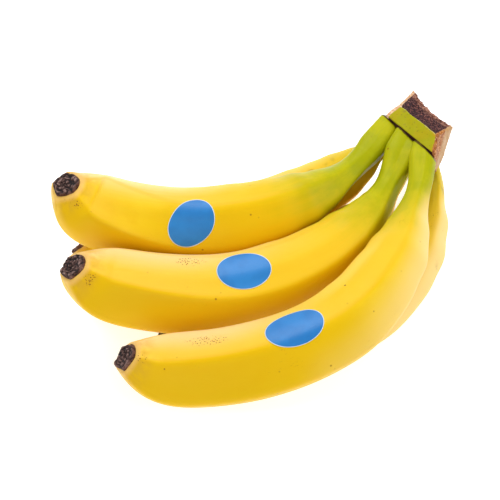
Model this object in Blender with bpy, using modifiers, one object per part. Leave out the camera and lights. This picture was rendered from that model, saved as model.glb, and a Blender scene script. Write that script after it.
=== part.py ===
"""Bunch of bananas lying on its side: six fingers in two layers on one cut crown.

Metres, +Z up. The origin is under the middle of the bunch, on the surface that it
lies on. Each finger leaves the crown as a thin stalk, swells to its full girth and
narrows to a dry blossom end, and its centre line bends in plan and sinks or rises
from the crown's height to the height that it lies at.
"""

import math

import bmesh
import bpy
from mathutils import Vector

MM = 0.001

# How a finger's centre line is divided, and how many sides its section has
RINGS = 26
SECTION_POINTS = 20
RIDGES = 5
RIDGE_DEPTH = 0.05

# Girth along a finger: (part of the length, part of the full radius)
GIRTH = (
    (0.00, 0.30), (0.06, 0.30), (0.13, 0.36), (0.20, 0.57), (0.29, 0.80), (0.40, 0.92),
    (0.50, 1.00), (0.72, 1.00), (0.84, 0.99), (0.90, 0.96), (0.945, 0.80), (0.978, 0.58),
    (1.00, 0.37),
)

# Part of the length from which every finger has its full girth
FULL_FROM = 0.50

# Girth of a stalk's hidden end inside the crown, as a part of its girth at the root
SUNK_TAPER = 0.75

# The stalk has reached the layer's height at DROP_END, the finger leans up or down after
# TIP_START, and its blossom end curls up after CURL_START
DROP_END = 0.50
TIP_START = 0.60
CURL_START = 0.84

# Fingers, in millimetres and degrees: root is where the stalk leaves the crown, heading its
# direction there in plan, sunk how far it runs into the crown, stalk the stalk's length as a
# part of the usual one, bends the turn per 100 mm at the stalk, the middle and the tip,
# lies_at the height of the middle of the finger, tip_at the height that its last part leans
# to, and curl the slope of the blossom end
FINGERS = {
    "upper_banana_back": dict(
        root=(60.3, 56.8, 43), heading=-124.1, sunk=17, stalk=1.0, bends=(49.1, 51.1, 27.4),
        length=177.2, radius=18.9, lies_at=47.7, tip_at=48.8, curl=72.8),
    "upper_banana_middle": dict(
        root=(74.4, 49.9, 44.8), heading=-112.4, sunk=13, stalk=1.0, bends=(7.9, 61, -21.1),
        length=203.9, radius=19.2, lies_at=52, tip_at=50, curl=56.3),
    "upper_banana_front": dict(
        root=(83.6, 43.7, 51.2), heading=-96.4, sunk=8, stalk=1.0, bends=(-0.5, 63.5, 3.4),
        length=216.3, radius=18.7, lies_at=64.2, tip_at=52.5, curl=42),
    "lower_banana_back": dict(
        root=(73.9, 76.3, 26.5), heading=-125.1, sunk=6, stalk=0.82, bends=(86.4, 32.2, 128.5),
        length=157.9, radius=16.5, lies_at=16.4, tip_at=17.3, curl=34.9),
    "lower_banana_middle": dict(
        root=(78.7, 62.2, 26.5), heading=-106.8, sunk=5, stalk=0.87, bends=(77, 44.4, 126.1),
        length=204.1, radius=17.3, lies_at=17.3, tip_at=15.5, curl=25.5),
    "lower_banana_front": dict(
        root=(88.1, 55.5, 28), heading=-71.5, sunk=3, stalk=0.88, bends=(123.6, 45.3, 69.3),
        length=198.2, radius=17.5, lies_at=18, tip_at=17.6, curl=43.2),
}

# Paper stickers: finger that each is on, part of the finger's length, and how far its
# middle is turned from the finger's top towards its outer side, in degrees
LABELS = {
    "label_back": dict(finger="upper_banana_back", along=0.60, turned=26, twist=60),
    "label_middle": dict(finger="upper_banana_middle", along=0.57, turned=-2, twist=0),
    "label_front": dict(finger="upper_banana_front", along=0.615, turned=-10, twist=0),
}
LABEL_LENGTH = 26.5
LABEL_WIDTH = 20.0
LABEL_THICK = 0.4
LABEL_GAP = 0.35
LABEL_CELLS = 8

PEEL_COLOUR = (0.86, 0.63, 0.03, 1.0)
CROWN_COLOUR = (0.36, 0.33, 0.04, 1.0)
LABEL_COLOUR = (0.01, 0.19, 0.68, 1.0)

# Crown, in millimetres: the corners of the green pad on its top and of its underside, each
# pair from the back to the front, on the seam side, where the stalks leave, and the cut side
PAD_SEAM = ((65.5, 70, 50), (89, 40.5, 58))
PAD_CUT = ((74.5, 75.5, 51), (91, 53, 59))
UNDER_SEAM = ((68, 82, 17), (94.5, 49, 22))
UNDER_CUT = ((84, 101.5, 27.7), (103.6, 74.8, 32.7))
CROWN_ROUND = 1.6
SOCKET_GAP = 0.35


def smooth_step(x):
    x = min(max(x, 0.0), 1.0)
    return x * x * (3.0 - 2.0 * x)


def girth_at(finger, along):
    """Part of the full radius at a part of the finger's length."""
    swollen = FULL_FROM * finger["stalk"]
    along = along / finger["stalk"] if along < swollen else max(along, FULL_FROM)
    for (a0, g0), (a1, g1) in zip(GIRTH, GIRTH[1:]):
        if along <= a1:
            return g0 + (g1 - g0) * smooth_step((along - a0) / (a1 - a0))
    return GIRTH[-1][1]


def section_radius(angle):
    """Rounded five-sided section of radius 1 at its ridges."""
    return 1.0 - RIDGE_DEPTH * (1.0 - math.cos(RIDGES * (angle - math.pi / 2))) / 2


def centre_line(finger, steps=400):
    """Points and plan headings along a finger, evenly spaced, in metres and radians."""
    stalk, middle, tip = finger["bends"]
    square = 2 * (stalk + tip - 2 * middle)
    linear = -3 * stalk + 4 * middle - tip
    length = finger["length"]
    x, y, root_z = finger["root"]
    curled = 0.0
    points = []
    headings = []
    for step in range(steps + 1):
        t = step / steps
        turn = length / 100 * (square * t ** 3 / 3 + linear * t ** 2 / 2 + stalk * t)
        heading = math.radians(finger["heading"] - turn)
        drop = (root_z - finger["lies_at"]) * (1 - smooth_step(t / DROP_END))
        lift = (finger["tip_at"] - finger["lies_at"]) * smooth_step((t - TIP_START) / (1 - TIP_START))
        slope = math.radians(finger["curl"]) * smooth_step((t - CURL_START) / (1 - CURL_START))
        points.append(Vector((x, y, finger["lies_at"] + drop + lift + curled)) * MM)
        headings.append(heading)
        x += math.cos(heading) * math.cos(slope) * length / steps
        y += math.sin(heading) * math.cos(slope) * length / steps
        curled += math.sin(slope) * length / steps
    return points, headings


def frame_at(finger, along):
    """Centre, side and top directions of a finger's section; side is its inner side."""
    points, headings = centre_line(finger)
    step = min(round(along * (len(points) - 1)), len(points) - 2)
    forward = (points[step + 1] - points[step]).normalized()
    side = Vector((math.sin(headings[step]), -math.cos(headings[step]), 0))
    return points[step], side, side.cross(forward), forward


def surface_point(finger, along, angle, clear):
    """A point at a height of clear over the peel; angle runs from the inner side to the top."""
    centre, side, top, _ = frame_at(finger, along)
    radius = finger["radius"] * MM * girth_at(finger, along) * section_radius(angle) + clear
    return centre + (side * math.cos(angle) + top * math.sin(angle)) * radius


def plain_material(name, colour, roughness):
    material = bpy.data.materials.new(name)
    material.use_nodes = True
    shader = material.node_tree.nodes["Principled BSDF"]
    shader.inputs["Base Color"].default_value = colour
    shader.inputs["Roughness"].default_value = roughness
    shader.inputs["Metallic"].default_value = 0.0
    return material


def section_profile(collection):
    """The unit section that every finger's curve carries."""
    data = bpy.data.curves.new("finger_section", "CURVE")
    data.dimensions = "2D"
    line = data.splines.new("POLY")
    line.points.add(SECTION_POINTS - 1)
    for index, point in enumerate(line.points):
        angle = -2 * math.pi * index / SECTION_POINTS
        radius = section_radius(angle) * MM
        point.co = (radius * math.cos(angle), radius * math.sin(angle), 0, 1)
    line.use_cyclic_u = True
    profile = bpy.data.objects.new("finger_section", data)
    profile.hide_render = True
    profile.display_type = "WIRE"
    collection.objects.link(profile)
    return profile


def finger_curve(name, finger, profile, collection, grow=0.0):
    """A finger as a bevelled curve; grow adds to its radius, for the cutters."""
    data = bpy.data.curves.new(name, "CURVE")
    data.dimensions = "3D"
    data.twist_mode = "Z_UP"
    data.bevel_mode = "OBJECT"
    data.bevel_object = profile
    data.use_fill_caps = True
    line = data.splines.new("POLY")
    line.points.add(RINGS)
    points, _ = centre_line(finger)
    inside_crown = points[0] - frame_at(finger, 0)[3] * finger["sunk"] * MM
    line.points[0].co = (*inside_crown, 1)
    line.points[0].radius = finger["radius"] * GIRTH[0][1] * SUNK_TAPER + grow
    for index in range(RINGS):
        along = index / (RINGS - 1)
        point = line.points[index + 1]
        point.co = (*points[round(along * (len(points) - 1))], 1)
        point.radius = finger["radius"] * girth_at(finger, along) + grow
    banana = bpy.data.objects.new(name, data)
    collection.objects.link(banana)
    return banana


def solid_mesh(curve_object):
    """The curve's mesh with its end caps welded on."""
    graph = bpy.context.evaluated_depsgraph_get()
    mesh = bpy.data.meshes.new_from_object(curve_object.evaluated_get(graph))
    shape = bmesh.new()
    shape.from_mesh(mesh)
    bmesh.ops.remove_doubles(shape, verts=shape.verts, dist=0.01 * MM)
    shape.to_mesh(mesh)
    shape.free()
    return mesh


def stalk_cutter(name, finger, profile, collection):
    curve = finger_curve(name, finger, profile, collection, grow=SOCKET_GAP)
    mesh = solid_mesh(curve)
    backward = -frame_at(finger, 0)[3] * SOCKET_GAP * MM
    for vertex in mesh.vertices:
        vertex.co += backward
    bpy.data.objects.remove(curve)
    cutter = bpy.data.objects.new(name, mesh)
    cutter.hide_render = True
    cutter.display_type = "WIRE"
    collection.objects.link(cutter)
    return cutter


def crown_block(collection, cutters):
    """The cut crown: a block whose faces slant, rounded, with a socket for every stalk."""
    shape = bmesh.new()
    bmesh.ops.create_cube(shape, size=2)
    for vertex in shape.verts:
        front = 1 if vertex.co.x > 0 else 0
        seam, cut = (PAD_SEAM, PAD_CUT) if vertex.co.z > 0 else (UNDER_SEAM, UNDER_CUT)
        vertex.co = Vector((cut if vertex.co.y > 0 else seam)[front]) * MM
    mesh = bpy.data.meshes.new("crown")
    shape.to_mesh(mesh)
    shape.free()
    crown = bpy.data.objects.new("crown", mesh)
    collection.objects.link(crown)
    rounding = crown.modifiers.new("rounded_edges", "BEVEL")
    rounding.width = CROWN_ROUND * MM
    rounding.segments = 2
    rounding.limit_method = "ANGLE"
    for cutter in cutters:
        socket = crown.modifiers.new(cutter.name, "BOOLEAN")
        socket.operation = "DIFFERENCE"
        socket.object = cutter
    return crown


def sticker(name, label, collection):
    """An oval of paper that follows the peel, a little clear of it."""
    finger = FINGERS[label["finger"]]
    shape = bmesh.new()
    bmesh.ops.create_grid(shape, x_segments=LABEL_CELLS, y_segments=LABEL_CELLS, size=1)
    middle = math.radians(90 + label["turned"])
    twist = math.radians(label["twist"])
    radius = finger["radius"] * girth_at(finger, label["along"])
    for vertex in shape.verts:
        across, up = vertex.co.x, vertex.co.y
        u = across * math.sqrt(1 - up ** 2 / 2) * LABEL_LENGTH / 2
        v = up * math.sqrt(1 - across ** 2 / 2) * LABEL_WIDTH / 2
        lengthwise = u * math.cos(twist) - v * math.sin(twist)
        around = u * math.sin(twist) + v * math.cos(twist)
        along = label["along"] + lengthwise / finger["length"]
        vertex.co = surface_point(finger, along, middle + around / radius, LABEL_GAP * MM)
    shape.normal_update()
    centre = frame_at(finger, label["along"])[0]
    face = max(shape.faces, key=lambda item: item.calc_area())
    if face.normal.dot(face.calc_center_median() - centre) < 0:
        bmesh.ops.reverse_faces(shape, faces=shape.faces)
    mesh = bpy.data.meshes.new(name)
    shape.to_mesh(mesh)
    shape.free()
    paper = bpy.data.objects.new(name, mesh)
    collection.objects.link(paper)
    wall = paper.modifiers.new("paper", "SOLIDIFY")
    wall.thickness = LABEL_THICK * MM
    wall.offset = 1.0
    return paper


def lowest_and_highest(objects):
    graph = bpy.context.evaluated_depsgraph_get()
    corners = []
    for item in objects:
        mesh = item.evaluated_get(graph).to_mesh()
        corners += [item.matrix_world @ vertex.co for vertex in mesh.vertices]
    low = Vector([min(corner[axis] for corner in corners) for axis in range(3)])
    high = Vector([max(corner[axis] for corner in corners) for axis in range(3)])
    return low, high


def build():
    for item in list(bpy.data.objects):
        bpy.data.objects.remove(item)
    parts = bpy.data.collections.new("banana_bunch")
    cutters = bpy.data.collections.new("cutters")
    bpy.context.scene.collection.children.link(parts)
    bpy.context.scene.collection.children.link(cutters)
    profile = section_profile(cutters)

    peel = plain_material("peel", PEEL_COLOUR, 0.42)
    pieces = []
    sockets = []
    for name, finger in FINGERS.items():
        banana = finger_curve(name, finger, profile, parts)
        banana.data.materials.append(peel)
        pieces.append(banana)
        sockets.append(stalk_cutter(name + "_socket", finger, profile, cutters))

    crown = crown_block(parts, sockets)
    crown.data.materials.append(plain_material("crown", CROWN_COLOUR, 0.6))
    pieces.append(crown)

    paper = plain_material("label", LABEL_COLOUR, 0.35)
    for name, label in LABELS.items():
        patch = sticker(name, label, parts)
        patch.data.materials.append(paper)
        patch.data.shade_smooth()
        patch.data.set_sharp_from_angle(angle=math.radians(40))
        pieces.append(patch)

    bpy.context.view_layer.update()
    low, high = lowest_and_highest(pieces)
    base = bpy.data.objects.new("banana_bunch_base", None)
    parts.objects.link(base)
    base.location = (-(low.x + high.x) / 2, -(low.y + high.y) / 2, -low.z)
    for item in pieces + sockets:
        item.parent = base


build()
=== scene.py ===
"""Looks of a bunch of bananas: peels, dry blossom ends, cut crown, plain stickers and a pale stage."""

import functools
import math
from dataclasses import dataclass

import bmesh
import bpy
from bpy.props import FloatProperty, FloatVectorProperty, IntProperty, PointerProperty
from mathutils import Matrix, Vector, noise


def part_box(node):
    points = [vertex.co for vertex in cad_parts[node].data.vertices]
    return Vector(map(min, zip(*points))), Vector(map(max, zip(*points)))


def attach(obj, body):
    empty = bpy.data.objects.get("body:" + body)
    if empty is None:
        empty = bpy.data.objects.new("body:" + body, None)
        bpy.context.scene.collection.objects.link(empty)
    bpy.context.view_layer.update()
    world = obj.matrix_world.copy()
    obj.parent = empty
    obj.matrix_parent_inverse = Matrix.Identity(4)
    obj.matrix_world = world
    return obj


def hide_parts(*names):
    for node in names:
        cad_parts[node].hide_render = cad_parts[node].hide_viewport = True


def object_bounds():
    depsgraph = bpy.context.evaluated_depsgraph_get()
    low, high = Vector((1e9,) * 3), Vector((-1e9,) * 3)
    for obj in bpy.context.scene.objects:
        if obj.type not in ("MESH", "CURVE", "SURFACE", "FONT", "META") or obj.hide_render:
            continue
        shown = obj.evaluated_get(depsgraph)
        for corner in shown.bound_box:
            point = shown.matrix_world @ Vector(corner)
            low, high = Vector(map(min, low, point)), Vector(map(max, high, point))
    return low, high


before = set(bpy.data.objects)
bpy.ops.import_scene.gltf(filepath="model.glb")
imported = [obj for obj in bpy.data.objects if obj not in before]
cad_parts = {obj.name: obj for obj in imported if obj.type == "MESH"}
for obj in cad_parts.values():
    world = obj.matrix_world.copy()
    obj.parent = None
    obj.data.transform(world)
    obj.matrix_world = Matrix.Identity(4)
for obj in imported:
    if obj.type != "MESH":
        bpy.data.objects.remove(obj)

bl_info = {
    "name": "Bunch of bananas",
    "version": (1, 0, 0),
    "blender": (4, 5, 0),
    "location": "3D View > Sidebar > Bananas",
    "description": "Builds the fine surfaces of a bunch of bananas over its plain solids",
    "category": "Object",
}

CAD_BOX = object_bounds()


@dataclass
class Look:
    """What sets one finger apart; lengths in metres, angles in degrees from the finger's inner side."""

    turned: float                       # how far its ridges are turned round it
    winds: float                        # how far they wind on towards the tip
    green: float                        # how far the green reaches from the crown
    widens: tuple = (0.0004, 0.0004)    # how much its stalk widens on its inner and its outer side
    rises: float = 0.0                  # how much its stalk rises at the crown; 0 on the lower fingers
    right_highlight: float = 0.0               # how strongly a highlight is painted on its right side
    pales: tuple = (0.015, 0.110)       # from where to where, past the green, the painted highlight on its back fades in and the darker yellow near its stalk, partly painted shade, fades out
    sways: tuple = (0, 0, 0)            # to the inner side after the stalk and at the tip, and forward there
    specks: tuple = ()                  # clusters: way from the tip, angle, length and spread in degrees


FINGERS = {
    "upper_banana_back": Look(
        turned=-2, winds=-40, green=0.052, widens=(0.0006, 0.0014), rises=0.0012,
        specks=((0.0065, 128, 0.0022, 10),)),
    "upper_banana_middle": Look(
        turned=36, winds=-18, green=0.050, widens=(0.0026, 0.0016), rises=0.0022,
        specks=((0.0062, 124, 0.0028, 16), (0.062, 62, 0.007, 9))),
    "upper_banana_front": Look(
        turned=6, winds=6, green=0.040, widens=(0.0012, 0.0012), rises=0.0002, right_highlight=0.66,
        pales=(0.065, 0.140), sways=(0.0026, 0, 0.0020),
        specks=((0.0042, 100, 0.0022, 14), (0.043, 66, 0.011, 10))),
    "lower_banana_back": Look(turned=10, winds=-20, green=0.018),
    "lower_banana_middle": Look(turned=-15, winds=-12, green=0.012, sways=(0, 0, 0.0022)),
    "lower_banana_front": Look(
        turned=24, winds=10, green=0.010, right_highlight=1, sways=(0, 0.0028, 0.0015)),
}
STICKERS = {
    "label_back": "upper_banana_back",
    "label_middle": "upper_banana_middle",
    "label_front": "upper_banana_front",
}


def size_property(name, description, default):
    return FloatProperty(name=name, description=description, default=default, unit="LENGTH", precision=5)


def share_property(name, description, default):
    return FloatProperty(name=name, description=description, default=default, min=0, max=1, subtype="FACTOR")


def colour_property(name, description, default):
    return FloatVectorProperty(
        name=name, description=description, default=default, size=3, min=0, max=1, subtype="COLOR")


class BananaPeelSettings(bpy.types.PropertyGroup):
    tip_smooths: IntProperty(
        name="Tip smooths", description="Rounds of smoothing on the tip's bend", default=18)
    ring_step: size_property("Ring step", "Length of peel between two rings of the mesh", 0.0012)
    sides: IntProperty(name="Sides", description="Points round the peel", default=80)
    ridge_depth: share_property("Ridge depth", "How five-sided the middle of a finger is", 0.66)
    end_ridges: share_property("End ridges", "How five-sided a finger is at its stalk and tip", 0.72)
    yellow: colour_property("Yellow", "Ripe peel", (0.84, 0.53, 0.006))
    pale: colour_property("Pale yellow", "Lighter patches of the peel", (0.89, 0.58, 0.022))
    deep: colour_property("Deep yellow", "Darker patches and ridges", (0.78, 0.45, 0.002))
    green: colour_property("Green", "Unripe stalk", (0.38, 0.39, 0.002))
    # painted highlight: the cream that the right side of the outermost fingers pales to, where the light
    # from the right falls
    highlight_cream: colour_property("Cream", "Bleached side of the outermost fingers", (0.92, 0.66, 0.24))
    brown: colour_property("Brown", "Specks, scars and scuffs", (0.24, 0.060, 0.008))


class BlossomEndSettings(bpy.types.PropertyGroup):
    height: size_property("Height", "Length of the dry end", 0.0019)
    ragged: size_property("Raggedness", "Depth of the folds in the dry end", 0.0006)
    husk: colour_property("Husk", "Dry folds", (0.095, 0.048, 0.040))
    rim: colour_property("Rim", "Pale edges of the folds", (0.30, 0.19, 0.165))
    pit: colour_property("Pit", "Sunken middle", (0.010, 0.007, 0.008))


class CrownSettings(bpy.types.PropertyGroup):
    cuts: IntProperty(name="Cuts", description="How finely the crown's faces are divided", default=60)
    rough: size_property("Roughness", "Depth of the torn fibres on the cut faces", 0.0010)
    hollow: share_property("Hollow", "How far the cut's far edge is bowed in", 0.42)
    step: size_property("Step", "How far the pad stands over its dark seam", 0.0009)
    deeper: size_property("Deeper", "How far the crown hangs round the lower stalks", 0.0075)
    pad: colour_property("Pad", "Green skin on the crown", (0.36, 0.34, 0.002))
    blotch: colour_property("Blotches", "Brown marks on the pad", (0.24, 0.17, 0.02))
    cut: colour_property("Cut face", "Dark dried cut", (0.040, 0.020, 0.024))
    flecks: colour_property("Flecks", "Torn fibres on the cut", (0.34, 0.13, 0.10))
    trimmed: colour_property("Trimmed end", "Orange-brown half of the cut end", (0.50, 0.19, 0.045))
    # painted shade: the seam colour darkens the band at the pad's stepped edge in place of its shadow; it
    # also tints small dark spots on the pad
    seam: colour_property("Seam", "Dark scar round the pad's edge", (0.045, 0.016, 0.012))


class StickerSettings(bpy.types.PropertyGroup):
    thickness: size_property("Thickness", "Paper of a sticker", 0.00012)
    cells: IntProperty(name="Cells", description="Cells across a sticker's mesh", default=36)
    face: colour_property("Face", "Printed face", (0.003, 0.170, 0.50))
    edge: colour_property("Edge", "Bare paper at the rim", (0.72, 0.80, 0.88))


class StageSettings(bpy.types.PropertyGroup):
    distance: size_property("Camera distance", "From the camera to the middle of the bunch", 0.9)
    elevation: FloatProperty(
        name="Camera elevation", description="Angle above the floor",
        default=math.radians(62), subtype="ANGLE")
    lens: FloatProperty(name="Lens", description="Focal length in millimetres", default=132.2)
    floor: colour_property("Floor", "Pale floor", (0.95, 0.95, 0.95))


def smooth_step(low, high, x):
    """0 up to low and 1 from high, or the other way round if low is the larger."""
    t = min(max((x - low) / (high - low), 0.0), 1.0)
    return t * t * (3.0 - 2.0 * t)


def spline(points, place):
    """A point of the smooth curve through points; place counts them."""
    index = min(max(int(place), 0), len(points) - 2)
    t = place - index
    before = points[max(index - 1, 0)]
    start, end = points[index], points[index + 1]
    after = points[min(index + 2, len(points) - 1)]
    square = 2 * before - 5 * start + 4 * end - after
    cube = 3 * start - before - 3 * end + after
    return start + ((end - before) * t + square * t * t + cube * t ** 3) / 2


SAME_PLANE = math.radians(0.1)
SECTION_STEP = 0.2
NEAREST_STEPS = 200


class Finger:
    """Middle line, girth and directions of one finger, read from the rings of its solid."""

    def __init__(self, node):
        rings = self.rings_of(node)
        self.centres = [sum(ring, Vector()) / len(ring) for ring in rings]
        self.radii = [
            max((corner - centre).length for corner in ring) for ring, centre in zip(rings, self.centres)]
        self.lengths = [0.0]
        for a, b in zip(self.centres, self.centres[1:]):
            self.lengths.append(self.lengths[-1] + (b - a).length)
        self.sunk = self.lengths[1]
        self.length = self.lengths[-1]

    @staticmethod
    def rings_of(node):
        """Rings of corners, from the stalk's end inside the crown to the blossom end."""
        shape = bmesh.new()
        shape.from_mesh(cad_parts[node].data)
        bmesh.ops.remove_doubles(shape, verts=shape.verts, dist=1e-6)
        shape.normal_update()
        flats, left = [], set(shape.faces)
        while left:
            rim = [left.pop()]
            flat = set(rim)
            while rim:
                current = rim.pop()
                level = {
                    other for side in current.edges for other in side.link_faces
                    if other in left and other.normal.angle(current.normal) < SAME_PLANE}
                left -= level
                flat |= level
                rim.extend(level)
            flats.append({corner for face in flat for corner in face.verts})
        two_ends = sorted(flats, key=len)[-2:]
        low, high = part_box("crown")
        middle = (low + high) / 2
        ring = min(two_ends, key=lambda flat: min((corner.co - middle).length for corner in flat))
        seen, rings = set(ring), []
        while ring:
            rings.append([corner.co.copy() for corner in ring])
            ring = {
                edge.other_vert(corner) for corner in ring for edge in corner.link_edges} - seen
            seen |= ring
        shape.free()
        if len({len(corners) for corners in rings}) != 1:
            raise RuntimeError(f"the rings of {node} don't match")
        return rings

    def place(self, run):
        """Which ring, as a number with a fraction, lies run metres from the sunken end."""
        run = min(max(run, 0.0), self.length)
        index = max(i for i, length in enumerate(self.lengths[:-1]) if length <= run)
        return index + (run - self.lengths[index]) / (self.lengths[index + 1] - self.lengths[index])

    def section(self, run):
        """Centre, inner side, top, forward direction and radius at run metres."""
        place = self.place(run)
        centre = spline(self.centres, place)
        ahead = spline(self.centres, min(place + SECTION_STEP, len(self.centres) - 1))
        behind = spline(self.centres, max(place - SECTION_STEP, 0))
        forward = (ahead - behind).normalized()
        side = forward.cross(Vector((0, 0, 1))).normalized()
        return centre, side, side.cross(forward), forward, spline(self.radii, place)

    def nearest(self, point):
        """How far along the finger a point is, and its angle from the inner side."""
        run = min(
            (self.length * step / NEAREST_STEPS for step in range(NEAREST_STEPS)),
            key=lambda length: (spline(self.centres, self.place(length)) - point).length)
        forward = self.section(run)[3]
        run += (point - spline(self.centres, self.place(run))).dot(forward)
        centre, side, top, _, _ = self.section(run)
        away = point - centre
        return run, math.atan2(away.dot(top), away.dot(side))


SIDES_OF_FINGER = 5
FACET = math.tau / SIDES_OF_FINGER
CORNER_POWER = 15.0
RIDGES_STAND = 0.035        # how far sharp ridges stand out past the round girth, as a part of it
RIDGE_WIDTH = 0.06          # part of a facet within which the peel turns over at a ridge

# Stretches of a finger as (start, end), in metres from where its stalk leaves the crown or, if so
# named, back from its tip
STALK_RIDGES_END = (0.02, 0.07)
TIP_RIDGES_START = (0.004, 0.03)
ROOT_JOINED = (-0.001, 0.024)
SWAY_STARTS = (0.010, 0.040)
SWAY_ENDS = (0.115, 0.070)
TIP_SWAYS = (0.070, 0.020)
TIP_REACHES = (0.025, 0.0)
# where the painted highlight on a finger's right side fades in after the stalk and out before the tip
STALK_HIGHLIGHT_FADE = (0.004, 0.040)
TIP_HIGHLIGHT_FADE = (0.050, 0.090)

SOFT_SIDE = math.radians(50)                            # where round a finger its ridges are softest
SOFT_REACH = (math.radians(66), math.radians(40))       # how far off they start to be soft and fully are
SOFTENED = 0.6              # how much of their sharpness they lose there
BOX_POWER = 5               # how square the section of a stalk's root is
BOXED = 0.75                # how much of that squareness the root takes
UNEVEN = 0.00035            # height of the slight lumps all over the peel
CREASES = ((0.0042, 0.00022), (0.0068, 0.00016), (0.0105, 0.00010))     # place and depth of stalk rings
CREASE_WIDTH = 0.00045
CREASE_WANDERS = 0.0007
TUCKED = 0.4                # part of its girth that a stalk loses as it goes in under the pad
TUCK_STARTS = (0.0005, -0.0020)     # how far outside the seam face that starts and ends
TUCK_REACH = 0.012          # only this near its root
CLEAR_OF_SEAM = 0.0012      # the lower stalks count as this far outside it
TIP_BENDS_FROM = 0.68       # part of a finger's length from which its tip's bend is smoothed
PEEL_VALUES = (
    "from_crown", "to_tip", "ridge", "inner", "front", "back", "left", "paled", "right_highlight", "specks",
    "from_seam")


def turn_between(angle, middle):
    """The turn from middle to angle, within half a round."""
    return (angle - middle + math.pi) % math.tau - math.pi


def five_sided(angle, sharp):
    """Radius of a rounded pentagon that reaches 1 at its ridges; sharp 0 is a circle."""
    facets = [max(0.0, math.cos(angle - (0.5 + side) * FACET)) for side in range(SIDES_OF_FINGER)]
    ridge = (2 * math.cos(FACET / 2) ** CORNER_POWER) ** (-1 / CORNER_POWER)
    pentagon = sum(facet ** CORNER_POWER for facet in facets) ** (-1 / CORNER_POWER) / ridge
    return (1 + (pentagon - 1) * sharp) * (1 + RIDGES_STAND * sharp)


def ridge_nearness(angle):
    """1 on a ridge and 0 in the middle of a facet."""
    return (1 + math.cos(SIDES_OF_FINGER * angle)) / 2


def from_ridge(finger, look, run, angle):
    """An angle round the finger, counted from its first ridge, which winds towards the tip."""
    wound = look.winds * smooth_step(finger.length * 0.55, finger.length, run)
    wavers = 0.06 * math.sin(run * 31 + look.turned)
    return angle - math.pi / 2 - math.radians(look.turned + wound) - wavers


def peel_radius(finger, look, peel, run, angle, radius):
    """Radius of the fine peel, with its facets, boxed root, creases and slight unevenness."""
    from_root, to_tip = run - finger.sunk, finger.length - run
    ends = max(1 - smooth_step(*STALK_RIDGES_END, from_root), 1 - smooth_step(*TIP_RIDGES_START, to_tip))
    sharp = peel.ridge_depth + (peel.end_ridges - peel.ridge_depth) * ends
    sharp *= 1 - SOFTENED * smooth_step(*SOFT_REACH, abs(turn_between(angle, SOFT_SIDE)))
    shape = radius * five_sided(from_ridge(finger, look, run, angle), sharp)

    spot = Vector((math.cos(angle) * 0.6, math.sin(angle) * 0.6, run * 22 + look.turned))
    shape += UNEVEN * noise.noise(spot * 1.3) * smooth_step(0, 0.05, run)

    joined = 1 - smooth_step(*ROOT_JOINED, from_root)
    inward, up = math.cos(angle), math.sin(angle)
    shape += joined * (look.widens[0] * max(inward, 0) + look.widens[1] * max(-inward, 0))
    shape += joined * look.rises * max(0.0, up)
    boxed = (abs(inward) ** BOX_POWER + abs(up) ** BOX_POWER) ** (-1 / BOX_POWER)
    shape *= 1 + BOXED * joined * (boxed - 1)

    for offset, depth in CREASES:
        wobble = offset + CREASE_WANDERS * noise.noise(spot * 2.1 + Vector((9000 * offset, 0, 0)))
        shape -= depth * math.exp(-((from_root - wobble) / CREASE_WIDTH) ** 2)
    return shape


def facet_side(finger, look, run, angle, side, top):
    """Direction that the facet at angle faces, turning over within a few degrees of a ridge."""
    facets = from_ridge(finger, look, run, angle) / FACET
    within = facets - math.floor(facets)
    middle = angle + (0.5 - within) * FACET
    near = min(within, 1 - within)
    if near < RIDGE_WIDTH:
        middle += (angle - middle) * (1 - near / RIDGE_WIDTH)
    return side * math.cos(middle) + top * math.sin(middle)


def speckled(finger, look, run, angle):
    """How densely the peel is specked, from 0 to 1."""
    share = 0.0
    for to_tip, turned, length, spread in look.specks:
        along = (finger.length - run - to_tip) / length
        around = turn_between(angle, math.radians(turned)) / math.radians(spread)
        share = max(share, math.exp(-along ** 2 - around ** 2))
    return share


def from_seam(point):
    """How far a point lies outside the crown's seam face."""
    corners = crown_corners()
    start, end, below = corners[-1, -1, 1], corners[1, -1, 1], corners[-1, -1, -1]
    way = (end - start).cross(below - start).normalized()
    if way.dot(corners[1, 1, 1] - start) > 0:
        way = -way
    return (point - start).dot(way)


def swayed(finger, look, run, side, forward):
    """How far the middle of the peel lies from the middle of its solid."""
    from_root, to_tip = run - finger.sunk, finger.length - run
    after_stalk, at_tip, ahead = look.sways
    sideways = after_stalk * smooth_step(*SWAY_STARTS, from_root) * smooth_step(*SWAY_ENDS, from_root)
    sideways += at_tip * smooth_step(*TIP_SWAYS, to_tip)
    return side * sideways + forward * ahead * smooth_step(*TIP_REACHES, to_tip)


def peel_point(finger, look, peel, run, angle):
    """A point of the peel. Only the upper stalks meet the pad, and they are tucked in under it."""
    centre, side, top, forward, radius = finger.section(run)
    reach = peel_radius(finger, look, peel, run, angle, radius)
    centre = centre + swayed(finger, look, run, side, forward)
    outward = side * math.cos(angle) + top * math.sin(angle)
    if look.rises and run < finger.sunk + TUCK_REACH:
        reach *= 1 - TUCKED * smooth_step(*TUCK_STARTS, from_seam(centre + outward * reach))
    return centre + outward * reach


def smooth_tip(rows, first, rounds):
    """Evens out the inside of the tip's bend, from the row first up to the last one."""
    for _ in range(rounds):
        before = rows[first - 1]
        for index in range(first, len(rows) - 1):
            old = rows[index]
            after = rows[index + 1]
            rows[index] = [(a + b * 2 + c) / 4 for a, b, c in zip(before, old, after)]
            before = old


def new_piece(name, shape, smooth=True, turned_out=False):
    """The finished bmesh as an object at the origin, with its faces turned out if they aren't yet."""
    if not turned_out:
        bmesh.ops.recalc_face_normals(shape, faces=shape.faces)
    mesh = bpy.data.meshes.new(name)
    shape.to_mesh(mesh)
    shape.free()
    piece = bpy.data.objects.new(name, mesh)
    bpy.context.scene.collection.objects.link(piece)
    if smooth:
        mesh.shade_smooth()
    return piece


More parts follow.
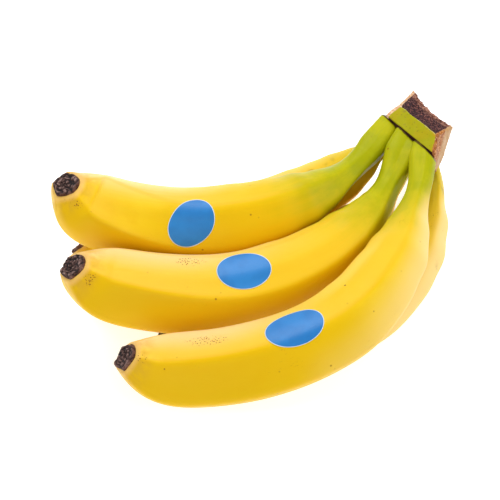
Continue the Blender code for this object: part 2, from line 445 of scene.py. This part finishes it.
def grow_ring(shape, ring, points):
    """Extrudes a loop of edges and sets the new corners on points, in the loop's order."""
    loop = [shape.edges.get((ring[i - 1], ring[i])) for i in range(len(ring))]
    made = bmesh.ops.extrude_edge_only(shape, edges=loop)["geom"]
    new = {corner for corner in made if isinstance(corner, bmesh.types.BMVert)}
    grown = []
    for corner, point in zip(ring, points):
        ends = (edge.other_vert(corner) for edge in corner.link_edges)
        partner = next(other for other in ends if other in new)
        partner.co = point
        grown.append(partner)
    return grown


def first_ring(shape, points):
    """A loop of edges with its corners on points."""
    made = bmesh.ops.create_circle(shape, segments=len(points), radius=1)["verts"]
    for corner, point in zip(made, points):
        corner.co = point
    return made


def peel_values(finger, look, run, angle, side, top, point):
    """What the peel's material reads at one corner, in the order of PEEL_VALUES."""
    from_root, to_tip = run - finger.sunk, finger.length - run
    past_green = from_root - look.green
    outward = side * math.cos(angle) + top * math.sin(angle)
    # how far along the painted highlight on the right side reaches
    highlighted = smooth_step(*TIP_HIGHLIGHT_FADE, to_tip) * smooth_step(*STALK_HIGHLIGHT_FADE, from_root)
    return (
        past_green,
        to_tip,
        ridge_nearness(from_ridge(finger, look, run, angle)),
        math.cos(angle),
        -facet_side(finger, look, run, angle, side, top).y,
        outward.y,
        -outward.x,
        smooth_step(*look.pales, past_green),
        outward.x * look.right_highlight * highlighted,
        speckled(finger, look, run, angle),
        from_seam(point) if look.rises else CLEAR_OF_SEAM,
    )


def finger_skin(name, finger, look, peel, end_height):
    """A finger's peel as rings from inside the crown to the neck of its blossom end."""
    shape = bmesh.new()
    fibre = shape.verts.layers.float_vector.new("fibre")
    for value_name in PEEL_VALUES:
        shape.verts.layers.float.new(value_name)
    layers = [shape.verts.layers.float[value_name] for value_name in PEEL_VALUES]
    neck = finger.length - end_height
    count = round(neck / peel.ring_step)
    runs = [neck * index / count for index in range(count + 1)]
    angles = [math.tau * number / peel.sides for number in range(peel.sides)]
    rows = [[peel_point(finger, look, peel, run, angle) for angle in angles] for run in runs]
    smooth_tip(rows, round(count * TIP_BENDS_FROM), peel.tip_smooths)
    ring = None
    for run, points in zip(runs, rows):
        if ring:
            ring = grow_ring(shape, ring, points)
        else:
            ring = first_ring(shape, points)
            shape.faces.new(ring)
        _, side, top, _, radius = finger.section(run)
        for corner, angle in zip(ring, angles):
            corner[fibre] = (radius * math.cos(angle), radius * math.sin(angle), run + look.turned)
            values = peel_values(finger, look, run, angle, side, top, corner.co)
            for layer, value in zip(layers, values):
                corner[layer] = value
    shape.faces.new(ring)
    return new_piece(name, shape)


class Wiring:
    """Short names for the nodes of one material."""

    def __init__(self, name):
        self.material = bpy.data.materials.new(name)
        self.material.use_nodes = True
        self.tree = self.material.node_tree
        self.shader = self.tree.nodes["Principled BSDF"]

    def node(self, kind, inputs=(), **values):
        made = self.tree.nodes.new(kind)
        for key, value in values.items():
            setattr(made, key, value)
        for key, value in dict(inputs).items():
            self.feed(made.inputs[key], value)
        return made

    def feed(self, socket, value):
        if isinstance(value, bpy.types.NodeSocket):
            self.tree.links.new(value, socket)
        elif socket.type == "RGBA" and len(value) == 3:
            socket.default_value = (*value, 1)
        else:
            socket.default_value = value

    def attribute(self, name, output="Fac"):
        return self.node("ShaderNodeAttribute", attribute_name=name).outputs[output]

    def place(self):
        return self.node("ShaderNodeTexCoord").outputs["Object"]

    def stretched(self, vector, scale):
        return self.node("ShaderNodeMapping", {"Vector": vector, "Scale": scale}).outputs["Vector"]

    def clouds(self, vector, scale, detail=4, roughness=0.5):
        inputs = {"Vector": vector, "Scale": scale, "Detail": detail, "Roughness": roughness}
        return self.node("ShaderNodeTexNoise", inputs).outputs["Fac"]

    def cells(self, vector, scale):
        return self.node("ShaderNodeTexVoronoi", {"Vector": vector, "Scale": scale}).outputs["Distance"]

    def maths(self, operation, a, b):
        made = self.node("ShaderNodeMath", operation=operation)
        self.feed(made.inputs[0], a)
        self.feed(made.inputs[1], b)
        return made.outputs[0]

    def plus(self, a, b):
        return self.maths("ADD", a, b)

    def minus(self, a, b):
        return self.maths("SUBTRACT", a, b)

    def times(self, a, b):
        return self.maths("MULTIPLY", a, b)

    def larger(self, a, b):
        return self.maths("MAXIMUM", a, b)

    def shift(self, clouds, width):
        """Clouds as a shift to either side, by up to half of width."""
        return self.times(self.minus(clouds, 0.5), width)

    def span(self, value, low, high, new_low=0.0, new_high=1.0):
        """value from low to high as a smooth step from new_low to new_high."""
        inputs = {"Value": value, "From Min": low, "From Max": high, "To Min": new_low, "To Max": new_high}
        return self.node("ShaderNodeMapRange", inputs, interpolation_type="SMOOTHSTEP").outputs["Result"]

    def mix(self, share, a, b):
        """Colour a with this share of colour b."""
        made = self.node("ShaderNodeMix", data_type="RGBA")
        self.feed(made.inputs["Factor"], share)
        self.feed(made.inputs[6], a)
        self.feed(made.inputs[7], b)
        return made.outputs[2]

    def bump(self, height, strength, distance, normal=None):
        inputs = {"Height": height, "Strength": strength, "Distance": distance}
        if normal:
            inputs["Normal"] = normal
        return self.node("ShaderNodeBump", inputs).outputs["Normal"]

    def finish(self, **inputs):
        for key, value in inputs.items():
            self.feed(self.shader.inputs[key.replace("_", " ")], value)
        return self.material


# painted light: paler yellow for the facets that face up and back
TOP_PAINTED_LIGHT = (0.89, 0.54, 0.045)
# darker, greener yellow near the stalk: partly the young tone there, partly painted shade
YOUNG_AND_SHADED_YELLOW = (0.72, 0.50, 0.003)
# painted highlight: pale cream for the side that faces back, as if rim-lit from behind
BACK_PAINTED_HIGHLIGHT = (0.93, 0.65, 0.28)
# painted shade: deeper yellow for the facets that face the front and down
FRONT_PAINTED_SHADE = (0.76, 0.46, 0.0015)
# painted light: paler yellow for the side that faces left
LEFT_PAINTED_LIGHT = (0.93, 0.63, 0.10)
LIVELY_GREEN = (0.46, 0.44, 0.003)
STRAND_GREEN = (0.33, 0.35, 0.002)
TIP_TAN = (0.60, 0.33, 0.03)
TIP_PEACH = (0.82, 0.50, 0.17)
# painted shade: dark line on the upper stalks where the pad overhangs them
STALK_SHADE_UNDER_PAD = (0.050, 0.018, 0.010)


def ripe_colour(w, peel, soft, long_strands):
    """Yellow with painted light and shade by the way each facet faces, which pales towards the tip."""
    front, paled = w.attribute("front"), w.attribute("paled")
    broad = w.clouds(w.place(), 28, 3, 0.5)
    colour = w.mix(w.span(broad, 0.35, 0.66), peel.yellow, peel.pale)
    colour = w.mix(w.span(soft, 0.50, 0.78, 0, 0.55), colour, peel.deep)
    # painted light: facets that face up and back, away from the front, are paler
    colour = w.mix(w.span(front, -0.10, 0.35, 0.8, 0), colour, TOP_PAINTED_LIGHT)
    # near the stalk the yellow is darker and greener: partly young tone, partly painted shade
    colour = w.mix(w.times(w.minus(1.0, paled), 0.45), colour, YOUNG_AND_SHADED_YELLOW)
    # painted highlight: the side facing back pales, more so away from the stalk
    colour = w.mix(w.times(w.span(w.attribute("back"), -0.05, 0.85), paled), colour, BACK_PAINTED_HIGHLIGHT)
    # painted shade: facets that face the front are deeper
    colour = w.mix(w.span(front, 0.30, 0.75, 0, 0.85), colour, FRONT_PAINTED_SHADE)
    # painted light: the side facing left pales, past the green
    left = w.span(w.attribute("left"), 0.25, 0.55, 0, 0.8)
    colour = w.mix(w.times(left, w.span(w.attribute("from_crown"), 0, 0.05)), colour, LEFT_PAINTED_LIGHT)
    colour = w.mix(w.times(w.span(w.attribute("ridge"), 0.93, 1.0), 0.30), colour, peel.deep)
    return w.mix(w.span(long_strands, 0.52, 0.75, 0, 0.22), colour, peel.deep)


def greened(w, peel, ripe, soft, strands, long_strands):
    """Green from the crown to an uneven edge that reaches furthest on a finger's inner side."""
    edge = w.plus(w.attribute("from_crown"), w.shift(long_strands, 0.022))
    edge = w.plus(edge, w.shift(soft, 0.016))
    edge = w.plus(edge, w.times(w.attribute("inner"), -0.007))
    green = w.mix(w.span(soft, 0.40, 0.62), peel.green, LIVELY_GREEN)
    green = w.mix(w.span(strands, 0.35, 0.70, 0, 0.35), green, STRAND_GREEN)
    return w.mix(w.span(edge, -0.030, 0.030, 1, 0), ripe, green)


def ended(w, colour, soft, long_strands):
    """The tan and peach ring before the blossom end, and a dark line of painted shade where the pad
    overhangs the stalk.
    """
    to_tip = w.attribute("to_tip")
    tan = w.times(w.span(to_tip, 0.003, 0.013, 0.50, 0), w.span(long_strands, 0.3, 0.6))
    colour = w.mix(tan, colour, TIP_TAN)
    colour = w.mix(w.span(to_tip, 0.0020, 0.0042, 0.6, 0), colour, TIP_PEACH)
    out = w.plus(w.attribute("from_seam"), w.shift(soft, 0.003))
    # painted shade: a dark line on the upper stalks just where they go in under the pad's edge
    line = w.times(w.span(out, 0.0001, 0.0009, 1, 0), w.span(out, -0.006, -0.004))
    return w.mix(w.times(line, 0.9), colour, STALK_SHADE_UNDER_PAD)


def peel_marks(w, place):
    """Scattered specks with the clusters that each finger's look names."""
    chosen = w.span(w.clouds(place, 55, 2), 0.60, 0.70)
    specks = w.times(w.span(w.cells(place, 230), 0.07, 0.16, 1, 0), chosen)
    fine = w.span(w.cells(place, 1000), 0.24, 0.38, 1, 0)
    clustered = w.times(w.attribute("specks"), w.clouds(place, 700, 2))
    return w.larger(specks, w.times(fine, w.span(clustered, 0.12, 0.28)))


def peel_material(peel):
    """Waxy peel: green stalk running into yellow, facets with painted light and shade, a painted highlight
    on the outer fingers' right side, fibres, specks and scuffs.
    """
    w = Wiring("banana_peel")
    place, fibre = w.place(), w.attribute("fibre", "Vector")
    soft = w.clouds(place, 75, 4, 0.55)
    strands = w.clouds(w.stretched(fibre, (1, 1, 0.07)), 900, 3, 0.6)
    long_strands = w.clouds(w.stretched(fibre, (1, 1, 0.05)), 260, 3, 0.55)
    colour = greened(w, peel, ripe_colour(w, peel, soft, long_strands), soft, strands, long_strands)
    # painted highlight: the right side of the outermost fingers pales to cream, as if lit from the right
    right_highlight = w.plus(w.attribute("right_highlight"), w.shift(soft, 0.016))
    colour = w.mix(w.span(right_highlight, 0.10, 0.75, 0, 0.9), colour, peel.highlight_cream)
    colour = ended(w, colour, soft, long_strands)

    marks = peel_marks(w, place)
    scratched = w.span(w.clouds(w.stretched(fibre, (1, 1, 0.35)), 1300, 2, 0.7), 0.60, 0.68)
    scuffs = w.times(scratched, w.span(w.clouds(place, 40, 3, 0.6), 0.62, 0.70))
    colour = w.mix(w.times(marks, 0.9), colour, peel.brown)
    colour = w.mix(w.times(scuffs, 0.38), colour, peel.brown)

    rough = w.plus(w.span(soft, 0.3, 0.7, 0.34, 0.46), w.times(scuffs, 0.2))
    normal = w.bump(strands, 0.16, 0.00025)
    normal = w.bump(w.clouds(place, 320, 3), 0.12, 0.0004, normal)
    normal = w.bump(w.minus(1.0, marks), 0.30, 0.0002, normal)
    w.shader.subsurface_method = "RANDOM_WALK"
    return w.finish(
        Base_Color=colour, Roughness=rough, Normal=normal, Subsurface_Weight=0.10,
        Subsurface_Radius=(1.0, 0.55, 0.10), Subsurface_Scale=0.003, Specular_IOR_Level=0.08)


class BANANA_OT_peels(bpy.types.Operator):
    """Covers every finger with its fine peel"""

    bl_idname = "banana.peels"
    bl_label = "Peels"

    def execute(self, context):
        peel = context.scene.banana_peel
        finish = peel_material(peel)
        for node, look in FINGERS.items():
            skin = finger_skin(
                node + "_peel", Finger(node), look, peel, context.scene.blossom_ends.height)
            skin.data.materials.append(finish)
            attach(skin, "root")
            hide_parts(node)
        return {"FINISHED"}


COLLAR = ((-0.95, 0.93), (-0.3, 0.96), (0.2, 0.98), (0.6, 0.97), (0.85, 0.93))
PIT_RINGS = 26
END_SIDES = 84
END_SUNK = 0.8          # how much of its height a blossom end sits back in the peel
PIT_LEANS = 0.22        # how far off the middle its pit is, as a part of the finger's radius
RUSSET = (0.17, 0.055, 0.022)


def blossom_outline():
    """Rings of the dry end as (rise, spread): its collar, then the rim and the pit inwards."""
    outline = list(COLLAR)
    for number in range(PIT_RINGS):
        spread = 0.88 * (1 - number / PIT_RINGS) + 0.03
        rise = 1.0 - 0.45 * smooth_step(0.5, 0.05, spread) - 0.2 * smooth_step(0.85, 0.65, spread)
        outline.append((rise, spread))
    return outline


def blossom_end(name, finger, look, peel, end):
    """The dry end: a ragged husk with a thick rim round a sunken pit."""
    shape = bmesh.new()
    depth = shape.verts.layers.float.new("pit_depth")
    fold = shape.verts.layers.float.new("fold")
    centre, side, top, forward, radius = finger.section(finger.length)
    centre = centre + swayed(finger, look, finger.length, side, forward)
    lean = Vector((math.cos(look.turned), math.sin(look.turned)))
    ring = None
    for rise, spread in blossom_outline():
        run = min(finger.length + rise * end.height, finger.length)
        shown = smooth_step(-0.9, 0.2, rise)
        off = lean * (1 - spread) * PIT_LEANS * radius
        points, values = [], []
        for number in range(END_SIDES):
            angle = math.tau * number / END_SIDES
            around = Vector((math.cos(angle), math.sin(angle), 0))
            base = peel_radius(finger, look, peel, run, angle, radius)
            lump = noise.noise(around * 1.3 + Vector((0, 0, look.turned)))
            crease = noise.noise(around * (0.9 + 1.1 * spread) + Vector((look.turned, 0, spread * 4.6)))
            crease += 0.30 * noise.noise(around * 4 * spread + Vector((3, look.turned, spread * 9)))
            folded = smooth_step(0.02, 0.50, abs(crease))
            reach = base * spread + shown * spread * (1.3 * lump + 0.35 * crease) * end.ragged
            lift = rise * end.height + shown * end.ragged * (folded - 0.6 + 0.8 * lump)
            across = side * (math.cos(angle) * reach + off.x) + top * (math.sin(angle) * reach + off.y)
            points.append(centre + across + forward * (lift - end.height * END_SUNK))
            values.append(folded)
        if ring:
            ring = grow_ring(shape, ring, points)
        else:
            ring = first_ring(shape, points)
            shape.faces.new(ring)
        for corner, value in zip(ring, values):
            corner[depth] = 1 - spread
            corner[fold] = value
    shape.faces.new(ring)
    return new_piece(name, shape)


def blossom_material(end):
    """Dark dry folds with pale edges, a darker pit and a russet line at the peel."""
    w = Wiring("dry_blossom_end")
    inwards = w.attribute("pit_depth")
    fine = w.clouds(w.place(), 1100, 4, 0.65)
    folds = w.plus(w.attribute("fold"), w.shift(fine, 0.8))
    colour = w.mix(w.span(folds, 0.05, 0.40), end.pit, end.husk)
    colour = w.mix(w.times(w.span(folds, 0.62, 1.05), w.span(fine, 0.42, 0.60)), colour, end.rim)
    colour = w.mix(w.span(inwards, 0.86, 0.97, 0, 0.9), colour, end.pit)
    russet = w.times(w.span(inwards, -0.02, 0.14, 1, 0), w.span(fine, 0.35, 0.60))
    colour = w.mix(w.times(russet, 0.7), colour, RUSSET)
    normal = w.bump(folds, 0.8, 0.0005)
    return w.finish(Base_Color=colour, Roughness=0.78, Normal=normal, Specular_IOR_Level=0.3)


class BANANA_OT_blossom_ends(bpy.types.Operator):
    """Puts the dry blossom end on every finger"""

    bl_idname = "banana.blossom_ends"
    bl_label = "Blossom ends"

    def execute(self, context):
        end = context.scene.blossom_ends
        finish = blossom_material(end)
        for node, look in FINGERS.items():
            piece = blossom_end(
                node + "_blossom_end", Finger(node), look, context.scene.banana_peel, end)
            piece.data.materials.append(finish)
            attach(piece, "root")
        return {"FINISHED"}


ROW_WAY = Vector((0.74, -0.67, 0))      # along the row of stalks
CUT_WAY = Vector((0.45, 0.89, 0))       # out through the cut face
ROUNDING = 0.10                         # part of the crown's half width that is rounded off
FACE_EDGE = (0.90, 0.985)               # where the crown's edges pass into a face, as a part of it
CUT_SUNK = 0.0012                       # how far the middle of the cut face dries in


@functools.cache
def crown_corners():
    """The eight corners of the crown's solid, by (row, cut side, up) signs."""
    corners = [corner.co.copy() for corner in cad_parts["crown"].data.vertices]
    low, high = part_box("crown")
    middle = low.z + 0.55 * (high.z - low.z)
    found = {}
    for along in (-1, 1):
        for cut in (-1, 1):
            for height in (-1, 1):
                level = [corner for corner in corners if (corner.z - middle) * height > 0]
                way = ROW_WAY * along + CUT_WAY * cut
                found[along, cut, height] = max(level, key=lambda corner: corner.dot(way))
    return found


def crown_point(crown, u, v, h):
    """Where a point of the cube lies in the crown, with its edges and corners rounded."""
    squared = Vector((u, v, h))
    nearest = sorted(abs(c) for c in squared)
    over = max(0.0, nearest[1] - (1 - ROUNDING)) / ROUNDING
    over_all = max(0.0, nearest[0] - (1 - ROUNDING)) / ROUNDING
    squared *= 1 - 0.035 * over ** 2 - 0.02 * over_all ** 2
    squared.z += crown.hollow * (1 - u * u) * smooth_step(-0.4, 1.0, v) * (1 - h) / 2
    point = Vector()
    for (a, b, c), place in crown_corners().items():
        place = place - Vector((0, 0, crown.deeper * (1 - c) * (1 - b) / 4))
        point += place * (1 + a * squared.x) * (1 + b * squared.y) * (1 + c * squared.z) / 8
    return point


def crown_push(crown, place, u, v, h):
    """How far the skin, its torn faces and the pad's step stand out at one point."""
    spot = place * 1000
    cut_face = smooth_step(*FACE_EDGE, v)
    end_face = smooth_step(*FACE_EDGE, u) * (1 - cut_face)
    seam_face = smooth_step(*FACE_EDGE, -v)
    pad_face = smooth_step(*FACE_EDGE, h) * (1 - cut_face) * (1 - end_face)
    torn = noise.noise(spot * 0.35) * 0.8 + noise.noise(spot * 0.9) * 0.5 + noise.noise(spot * 2.1) * 0.25
    waves = noise.noise(spot * 0.12) * 0.7 + noise.noise(spot * 0.3) * 0.25
    push = crown.rough * (torn * (cut_face + 0.35 * end_face + 0.5 * seam_face) + waves * 0.8)
    push -= CUT_SUNK * cut_face * (1 - max(abs(u), abs(h)) ** 4)
    return push + crown.step * pad_face * smooth_step(-0.86, -0.80, v)


def crown_block(crown):
    """The crown as a fine cube fitted to its solid's corners, with torn faces and a raised pad."""
    shape = bmesh.new()
    bmesh.ops.create_cube(shape, size=2)
    bmesh.ops.subdivide_edges(shape, edges=shape.edges, cuts=crown.cuts, use_grid_fill=True)
    block = shape.verts.layers.float_vector.new("block")
    for corner in shape.verts:
        corner[block] = corner.co
        corner.co = crown_point(crown, *corner.co)
    shape.normal_update()
    moves = {
        corner: corner.normal * crown_push(crown, corner.co, *corner[block]) for corner in shape.verts}
    for corner, move in moves.items():
        corner.co += move
    return shape


PAD_GOLD = (0.40, 0.33, 0.003)
PAD_ORANGE = (0.55, 0.27, 0.012)
TORN_PITS = (0.008, 0.004, 0.005)
FRAYED_DARK = (0.13, 0.038, 0.024)
FRAYED_PALE = (0.50, 0.25, 0.17)
TAN_DARK = (0.48, 0.27, 0.11)
TAN_PALE = (0.56, 0.36, 0.20)
TRIM_RUST = (0.24, 0.070, 0.022)
TRIM_PALE = (0.72, 0.42, 0.20)
# painted shade: darker green on the lower part of the seam band
SEAM_SHADE_GREEN = (0.20, 0.17, 0.004)
CUT_LINE = (0.62, 0.54, 0.20)
CUT_OUTLINE = (0.010, 0.004, 0.004)
BACK_PALE = (0.80, 0.56, 0.36)
BACK_TAN = (0.58, 0.30, 0.15)
SKIN_ROUGH = (0.50, 0.50, 0.50)
TORN_ROUGH = (0.9, 0.9, 0.9)


def pad_colour(w, crown, place, row, coarse):
    """Green skin with brown blotches, turning orange at the trimmed end."""
    pad = w.mix(w.span(coarse, 0.42, 0.62), crown.pad, PAD_GOLD)
    pad = w.mix(w.span(w.clouds(place, 330, 4), 0.58, 0.70, 0, 0.6), pad, crown.blotch)
    pad = w.mix(w.span(w.cells(place, 420), 0.08, 0.20, 0.35, 0), pad, crown.seam)
    orange = w.times(w.span(row, 0.72, 0.90), w.span(coarse, 0.40, 0.55))
    return w.mix(w.times(orange, 0.7), pad, PAD_ORANGE)


def cut_colour(w, crown, place, up, wobble, fine):
    """Dark dried fibres, frayed and paler towards the lower edge."""
    torn = w.mix(w.span(w.clouds(place, 1100, 4, 0.7), 0.50, 0.64), crown.cut, crown.flecks)
    torn = w.mix(w.span(w.cells(place, 1000), 0.20, 0.42, 0.55, 0), torn, TORN_PITS)
    frayed = w.mix(w.span(fine, 0.44, 0.58), FRAYED_DARK, FRAYED_PALE)
    torn = w.mix(w.span(w.minus(w.times(wobble, 4.0), up), 0.35, 0.95, 0, 0.9), torn, frayed)
    return w.mix(w.span(up, 0.10, 0.95, 0, 0.55), torn, crown.cut)


def end_colour(w, crown, place, up, wobble, coarse, fine):
    """The trimmed end: tan below and rough orange-brown above."""
    tan = w.mix(w.span(coarse, 0.38, 0.62), TAN_DARK, TAN_PALE)
    rough = w.mix(w.span(fine, 0.40, 0.62), crown.trimmed, TRIM_RUST)
    rough = w.mix(w.span(w.clouds(place, 900, 3), 0.55, 0.68), rough, TRIM_PALE)
    return w.mix(w.span(w.plus(up, w.times(wobble, 5.0)), -0.20, 0.15), tan, rough)


def crown_material(crown):
    """Green pad with a dark seam of painted shade at its step, a torn dark cut and a pale trimmed end."""
    w = Wiring("cut_crown")
    place = w.place()
    block = w.node("ShaderNodeSeparateXYZ", {"Vector": w.attribute("block", "Vector")}).outputs
    row, out, up = block["X"], block["Y"], block["Z"]
    coarse, fine = w.clouds(place, 160, 4), w.clouds(place, 620, 5, 0.65)
    wobble = w.shift(coarse, 0.12)
    past = w.times(w.span(up, 1.0, 0.4, 0, 0.5), w.span(out, 0.85, 0.97))
    edge = w.plus(w.plus(w.plus(out, past), wobble), w.shift(w.clouds(place, 75, 2), 1.9))
    far_cut = w.times(w.span(out, 0.90, 0.93), w.span(up, 0.5, 0.7, 1, 0))
    cut_share = w.larger(w.span(edge, 0.970, 0.990), far_cut)
    end_share = w.span(w.plus(row, wobble), 0.895, 0.925)
    back_share = w.span(w.minus(wobble, row), 0.885, 0.910)
    seam_share = w.span(w.minus(w.plus(wobble, w.times(row, 0.035)), out), 0.800, 0.830)
    under_share = w.span(w.minus(wobble, up), 0.890, 0.930)

    pad = pad_colour(w, crown, place, row, coarse)
    colour = w.mix(under_share, pad, w.mix(0.5, pad, crown.blotch))
    above = w.minus(w.plus(up, w.times(row, 0.05)), wobble)
    # painted shade: the band along the pad's seam edge is dark, darkest at its top, where the step's shadow
    # falls
    colour = w.mix(seam_share, colour, w.mix(w.span(above, 0.74, 0.82), SEAM_SHADE_GREEN, crown.seam))
    line = w.times(w.span(edge, 0.890, 0.920), w.span(edge, 0.940, 0.965, 1, 0))
    colour = w.mix(w.times(line, 0.6), colour, CUT_LINE)
    colour = w.mix(cut_share, colour, cut_colour(w, crown, place, up, wobble, fine))
    outline = w.times(w.span(edge, 0.955, 0.975), w.span(edge, 1.02, 1.07, 1, 0))
    colour = w.mix(outline, colour, CUT_OUTLINE)
    colour = w.mix(end_share, colour, end_colour(w, crown, place, up, wobble, coarse, fine))
    colour = w.mix(back_share, colour, w.mix(w.span(fine, 0.40, 0.60), BACK_PALE, BACK_TAN))
    rough = w.mix(cut_share, SKIN_ROUGH, TORN_ROUGH)
    normal = w.bump(fine, w.span(w.larger(cut_share, end_share), 0, 1, 0.25, 0.9), 0.0006)
    return w.finish(Base_Color=colour, Roughness=rough, Normal=normal, Specular_IOR_Level=0.08)


class BANANA_OT_crown(bpy.types.Operator):
    """Builds the cut crown that the stalks grow from"""

    bl_idname = "banana.crown"
    bl_label = "Crown"

    def execute(self, context):
        crown = context.scene.banana_crown
        piece = new_piece("crown_block", crown_block(crown))
        piece.data.materials.append(crown_material(crown))
        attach(piece, "root")
        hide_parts("crown")
        return {"FINISHED"}


STICKER_FITS = 0.96         # how much of its solid's outline a sticker's paper takes up
STICKER_LIFTED = 0.00006
PRINT_PALE = (0.006, 0.200, 0.56)


def sticker_patch(name, finger, look, peel, sticker):
    """An oval of paper laid on the fine peel where its solid lies."""
    solid = [corner.co.copy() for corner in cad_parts[name].data.vertices]
    run, angle = finger.nearest(sum(solid, Vector()) / len(solid))
    middle, _, _, _, radius = finger.section(run)
    spots = [finger.nearest(corner) for corner in solid]
    offsets = [Vector((along - run, (turned - angle) * radius)) for along, turned in spots]
    far = max(offsets, key=lambda offset: offset.length)
    half_long = far.length * STICKER_FITS
    half_wide = max(abs(far.normalized().cross(offset)) for offset in offsets) * STICKER_FITS
    twist = math.atan2(far.y, far.x)
    shape = bmesh.new()
    bmesh.ops.create_grid(shape, x_segments=sticker.cells, y_segments=sticker.cells, size=1)
    rim = shape.verts.layers.float.new("rim")
    for corner in shape.verts:
        x, y = corner.co.x, corner.co.y
        u = x * math.sqrt(1 - y * y / 2)
        v = y * math.sqrt(1 - x * x / 2)
        corner[rim] = math.hypot(u, v)
        lengthwise = u * half_long * math.cos(twist) - v * half_wide * math.sin(twist)
        around = u * half_long * math.sin(twist) + v * half_wide * math.cos(twist)
        at_run, at_angle = run + lengthwise, angle + around / radius
        centre, side, top, _, here = finger.section(at_run)
        reach = peel_radius(finger, look, peel, at_run, at_angle, here) + STICKER_LIFTED
        corner.co = centre + (side * math.cos(at_angle) + top * math.sin(at_angle)) * reach
    shape.normal_update()
    face = next(iter(shape.faces))
    if face.normal.dot(face.calc_center_median() - middle) < 0:
        bmesh.ops.reverse_faces(shape, faces=shape.faces)
    piece = new_piece(name + "_paper", shape, turned_out=True)
    paper = piece.modifiers.new("paper", "SOLIDIFY")
    paper.thickness = sticker.thickness
    paper.offset = 1
    return piece


def sticker_material(sticker):
    """Plain printed paper with a bare rim, slightly rumpled."""
    w = Wiring("sticker_paper")
    place = w.place()
    grain = w.clouds(place, 1800, 3)
    face = w.mix(w.span(w.clouds(place, 120, 2), 0.35, 0.65), sticker.face, PRINT_PALE)
    colour = w.mix(w.span(w.attribute("rim"), 0.965, 0.985), face, sticker.edge)
    normal = w.bump(grain, 0.08, 0.0001)
    normal = w.bump(w.clouds(place, 160, 3), 0.25, 0.0004, normal)
    return w.finish(Base_Color=colour, Roughness=w.span(grain, 0.3, 0.7, 0.42, 0.52), Normal=normal)


class BANANA_OT_stickers(bpy.types.Operator):
    """Lays the plain stickers on the upper fingers"""

    bl_idname = "banana.stickers"
    bl_label = "Stickers"

    def execute(self, context):
        sticker = context.scene.banana_stickers
        finish = sticker_material(sticker)
        for name, node in STICKERS.items():
            piece = sticker_patch(
                name, Finger(node), FINGERS[node], context.scene.banana_peel, sticker)
            piece.data.materials.append(finish)
            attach(piece, "root")
            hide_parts(name)
        return {"FINISHED"}


FLOOR_HALF = 4.0
FLOOR_CELLS = 8
FLOOR_GAP = 0.0002
DUST = (0.97, 0.97, 0.97)
FLOOR_GLOW = ((0.88, 0.91, 1.0), (0.90, 0.93, 1.0))
AIM_OFF_MIDDLE = Vector((-0.0029, -0.0041, -0.0041))
LIGHTS = {      # place, size and power
    "key": ((-0.10, 0.75, 1.05), 1.1, 12),
    "right": ((1.15, 0.05, 0.62), 0.8, 4.5),
    "front": ((-0.5, -1.2, 0.9), 1.2, 6),
}
WORLD_STRENGTH = 0.50


def aimed(item, place, target):
    """Puts a camera or a light at place, looking at target."""
    item.location = place
    item.rotation_euler = (target - place).to_track_quat("-Z", "Y").to_euler()
    bpy.context.scene.collection.objects.link(item)


def area_light(name, place, target, size, power):
    """A round soft light."""
    data = bpy.data.lights.new(name, "AREA")
    data.shape = "DISK"
    data.size = size
    data.energy = power
    aimed(bpy.data.objects.new(name, data), place, target)


def floor_material(stage):
    """Pale paint with faint dust that shines a little of its own light."""
    w = Wiring("pale_floor")
    dust = w.clouds(w.place(), 9, 3)
    return w.finish(
        Base_Color=w.mix(dust, stage.floor, DUST), Roughness=0.7,
        Emission_Color=w.mix(dust, *FLOOR_GLOW), Emission_Strength=0.50)


class BANANA_OT_stage(bpy.types.Operator):
    """Lays the floor and sets the lights and the camera"""

    bl_idname = "banana.stage"
    bl_label = "Stage"

    def execute(self, context):
        stage = context.scene.banana_stage
        low, high = CAD_BOX
        shape = bmesh.new()
        bmesh.ops.create_grid(shape, x_segments=FLOOR_CELLS, y_segments=FLOOR_CELLS, size=FLOOR_HALF)
        for corner in shape.verts:
            corner.co.z = low.z - FLOOR_GAP
        floor = new_piece("floor", shape, smooth=False)
        floor.data.materials.append(floor_material(stage))

        middle = (low + high) / 2 + AIM_OFF_MIDDLE
        back = Vector((0, -math.cos(stage.elevation), math.sin(stage.elevation)))
        camera = bpy.data.cameras.new("camera")
        camera.lens = stage.lens
        viewer = bpy.data.objects.new("camera", camera)
        aimed(viewer, middle + back * stage.distance, middle)
        context.scene.camera = viewer

        for name, (place, size, power) in LIGHTS.items():
            area_light(name, Vector(place), middle, size, power)
        world = bpy.data.worlds.new("soft_white")
        world.use_nodes = True
        sky = world.node_tree.nodes["Background"].inputs
        sky["Color"].default_value = (1, 1, 1, 1)
        sky["Strength"].default_value = WORLD_STRENGTH
        context.scene.world = world
        context.scene.view_settings.view_transform = "Standard"
        return {"FINISHED"}


class BANANA_PT_panel(bpy.types.Panel):
    """Steps that build the bunch, and the sizes and colours they use"""

    bl_label = "Bunch of bananas"
    bl_idname = "BANANA_PT_panel"
    bl_space_type = "VIEW_3D"
    bl_region_type = "UI"
    bl_category = "Bananas"

    def draw(self, context):
        for step in STEPS:
            self.layout.operator(step.bl_idname)
        for group_name in GROUPS:
            group = getattr(context.scene, group_name)
            box = self.layout.box()
            for name in group.bl_rna.properties.keys():
                if name not in ("rna_type", "name"):
                    box.prop(group, name)


GROUPS = {
    "banana_peel": BananaPeelSettings,
    "blossom_ends": BlossomEndSettings,
    "banana_crown": CrownSettings,
    "banana_stickers": StickerSettings,
    "banana_stage": StageSettings,
}
STEPS = (BANANA_OT_peels, BANANA_OT_blossom_ends, BANANA_OT_crown, BANANA_OT_stickers, BANANA_OT_stage)


def register():
    for kind in (*GROUPS.values(), *STEPS, BANANA_PT_panel):
        bpy.utils.register_class(kind)
    for name, kind in GROUPS.items():
        setattr(bpy.types.Scene, name, PointerProperty(type=kind))


def unregister():
    for name in GROUPS:
        delattr(bpy.types.Scene, name)
    for kind in (BANANA_PT_panel, *STEPS[::-1], *GROUPS.values()):
        bpy.utils.unregister_class(kind)


def main():
    register()
    bpy.ops.banana.peels()
    bpy.ops.banana.blossom_ends()
    bpy.ops.banana.crown()
    bpy.ops.banana.stickers()
    bpy.ops.banana.stage()


if __name__ == "__main__":
    main()
